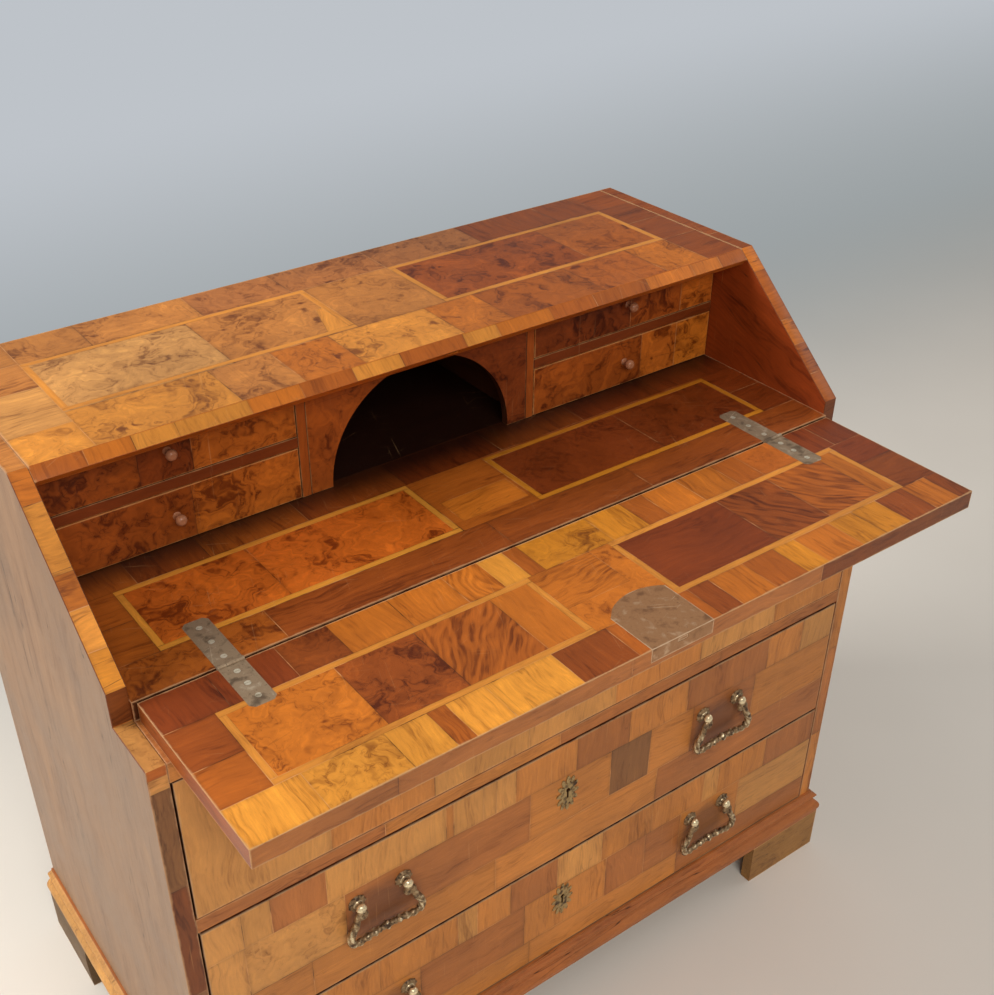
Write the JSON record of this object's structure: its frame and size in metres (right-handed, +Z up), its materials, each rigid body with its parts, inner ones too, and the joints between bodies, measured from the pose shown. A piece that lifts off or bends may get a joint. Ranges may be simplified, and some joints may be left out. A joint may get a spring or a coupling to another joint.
{
  "type": "slant-front writing bureau",
  "caption": "Slant-front writing bureau with hinged fall, arched pigeonhole between small drawers, long drawers with swan-neck bail handles, and bracket feet.",
  "frame": {"origin": "on the floor, midway across the case and midway between the front edge of the open fall and the back of the case", "axes": "+Z up, -Y towards the writer and the way the drawers pull out, +X to the writer's right"},
  "size_m": [1.0902, 0.735, 0.966],
  "materials": {
    "side_walnut": "worn walnut veneer with a dull wax finish",
    "top_walnut": "burl walnut veneer with an old polish",
    "bed_walnut": "plain and burl walnut veneer, scratched, with an old polish",
    "fall_walnut": "burl walnut veneer with an old polish",
    "rail_walnut": "crossbanded walnut veneer",
    "softwood": "plain softwood, unfinished and darkened",
    "moulding_walnut": "dark walnut, waxed",
    "foot_walnut": "walnut veneer, rubbed and dull",
    "knob_wood": "turned fruitwood, polished",
    "small_front_burl": "burl walnut veneer with an old polish",
    "front_walnut": "walnut veneer in blocks, waxed",
    "hinge_iron": "wrought iron, darkened",
    "lock_iron": "wrought iron, worn and scratched",
    "old_brass": "cast brass with a dark patina"
  },
  "bodies": {
    "case": {"side_left": "side_walnut", "side_right": "side_walnut", "top_board": "top_walnut", "back_boards": "softwood", "case_floor": "softwood", "top_rail": "rail_walnut", "drawer_rails": "rail_walnut", "drawer_runners": "softwood", "base_moulding": "moulding_walnut", "front_feet": "foot_walnut", "rear_feet": "foot_walnut", "writing_bed": "bed_walnut", "bed_hinge_leaves": "hinge_iron", "bed_hinge_screws": "hinge_iron", "nest_partitions": "top_walnut", "nest_shelves": "top_walnut", "arch_panel": "top_walnut"},
    "fall": {"fall_board": "fall_walnut", "fall_lock": "lock_iron", "fall_hinge_leaves": "hinge_iron", "hinge_pins": "hinge_iron", "fall_hinge_screws": "hinge_iron", "fall_escutcheon": "old_brass"},
    "fall_bolt": {"fall_lock_bolt": "lock_iron"},
    "drawer_1": {"drawer_1_front": "front_walnut", "drawer_1_box": "softwood", "drawer_1_lock": "lock_iron", "drawer_1_escutcheon": "old_brass", "drawer_1_handle_posts": "old_brass"},
    "drawer_1_bolt": {"drawer_1_bolt": "lock_iron"},
    "drawer_1_bail_left": {"drawer_1_bail_left": "old_brass"},
    "drawer_1_bail_right": {"drawer_1_bail_right": "old_brass"},
    "drawer_2": {"drawer_2_front": "front_walnut", "drawer_2_box": "softwood", "drawer_2_lock": "lock_iron", "drawer_2_escutcheon": "old_brass", "drawer_2_handle_posts": "old_brass"},
    "drawer_2_bolt": {"drawer_2_bolt": "lock_iron"},
    "drawer_2_bail_left": {"drawer_2_bail_left": "old_brass"},
    "drawer_2_bail_right": {"drawer_2_bail_right": "old_brass"},
    "drawer_3": {"drawer_3_front": "front_walnut", "drawer_3_box": "softwood", "drawer_3_lock": "lock_iron", "drawer_3_escutcheon": "old_brass", "drawer_3_handle_posts": "old_brass"},
    "drawer_3_bolt": {"drawer_3_bolt": "lock_iron"},
    "drawer_3_bail_left": {"drawer_3_bail_left": "old_brass"},
    "drawer_3_bail_right": {"drawer_3_bail_right": "old_brass"},
    "small_drawer_left_lower": {"small_drawer_left_lower_front": "small_front_burl", "small_drawer_left_lower_box": "softwood", "small_drawer_left_lower_knob": "knob_wood"},
    "small_drawer_left_upper": {"small_drawer_left_upper_front": "small_front_burl", "small_drawer_left_upper_box": "softwood", "small_drawer_left_upper_knob": "knob_wood"},
    "small_drawer_right_lower": {"small_drawer_right_lower_front": "small_front_burl", "small_drawer_right_lower_box": "softwood", "small_drawer_right_lower_knob": "knob_wood"},
    "small_drawer_right_upper": {"small_drawer_right_upper_front": "small_front_burl", "small_drawer_right_upper_box": "softwood", "small_drawer_right_upper_knob": "knob_wood"}
  },
  "joints": [
    {"name": "fall_hinge", "type": "hinge", "parent": "case", "child": "fall", "pos_m": [0, -0.128, 0.7855], "axis": [1, 0, 0], "range_deg": [-138.8, 0]},
    {"name": "fall_bolt_slide", "type": "slide", "parent": "fall", "child": "fall_bolt", "axis": [0, -1, 0], "range_m": [0, 0.012]},
    {"name": "drawer_1_slide", "type": "slide", "parent": "case", "child": "drawer_1", "axis": [0, -1, 0], "range_m": [0, 0.4]},
    {"name": "drawer_1_bolt_slide", "type": "slide", "parent": "drawer_1", "child": "drawer_1_bolt", "axis": [0, 0, 1], "range_m": [0, 0.008]},
    {"name": "drawer_1_bail_left_swing", "type": "hinge", "parent": "drawer_1", "child": "drawer_1_bail_left", "pos_m": [-0.282, -0.2125, 0.6532], "axis": [-1, 0, 0], "range_deg": [0, 120]},
    {"name": "drawer_1_bail_right_swing", "type": "hinge", "parent": "drawer_1", "child": "drawer_1_bail_right", "pos_m": [0.282, -0.2125, 0.6532], "axis": [-1, 0, 0], "range_deg": [0, 120]},
    {"name": "drawer_2_slide", "type": "slide", "parent": "case", "child": "drawer_2", "axis": [0, -1, 0], "range_m": [0, 0.4]},
    {"name": "drawer_2_bolt_slide", "type": "slide", "parent": "drawer_2", "child": "drawer_2_bolt", "axis": [0, 0, 1], "range_m": [0, 0.008]},
    {"name": "drawer_2_bail_left_swing", "type": "hinge", "parent": "drawer_2", "child": "drawer_2_bail_left", "pos_m": [-0.282, -0.2125, 0.4285], "axis": [-1, 0, 0], "range_deg": [0, 120]},
    {"name": "drawer_2_bail_right_swing", "type": "hinge", "parent": "drawer_2", "child": "drawer_2_bail_right", "pos_m": [0.282, -0.2125, 0.4285], "axis": [-1, 0, 0], "range_deg": [0, 120]},
    {"name": "drawer_3_slide", "type": "slide", "parent": "case", "child": "drawer_3", "axis": [0, -1, 0], "range_m": [0, 0.4]},
    {"name": "drawer_3_bolt_slide", "type": "slide", "parent": "drawer_3", "child": "drawer_3_bolt", "axis": [0, 0, 1], "range_m": [0, 0.008]},
    {"name": "drawer_3_bail_left_swing", "type": "hinge", "parent": "drawer_3", "child": "drawer_3_bail_left", "pos_m": [-0.282, -0.2125, 0.224], "axis": [-1, 0, 0], "range_deg": [0, 120]},
    {"name": "drawer_3_bail_right_swing", "type": "hinge", "parent": "drawer_3", "child": "drawer_3_bail_right", "pos_m": [0.282, -0.2125, 0.224], "axis": [-1, 0, 0], "range_deg": [0, 120]},
    {"name": "small_drawer_left_lower_slide", "type": "slide", "parent": "case", "child": "small_drawer_left_lower", "axis": [0, -1, 0], "range_m": [0, 0.19]},
    {"name": "small_drawer_left_upper_slide", "type": "slide", "parent": "case", "child": "small_drawer_left_upper", "axis": [0, -1, 0], "range_m": [0, 0.19]},
    {"name": "small_drawer_right_lower_slide", "type": "slide", "parent": "case", "child": "small_drawer_right_lower", "axis": [0, -1, 0], "range_m": [0, 0.19]},
    {"name": "small_drawer_right_upper_slide", "type": "slide", "parent": "case", "child": "small_drawer_right_upper", "axis": [0, -1, 0], "range_m": [0, 0.19]}
  ]
}
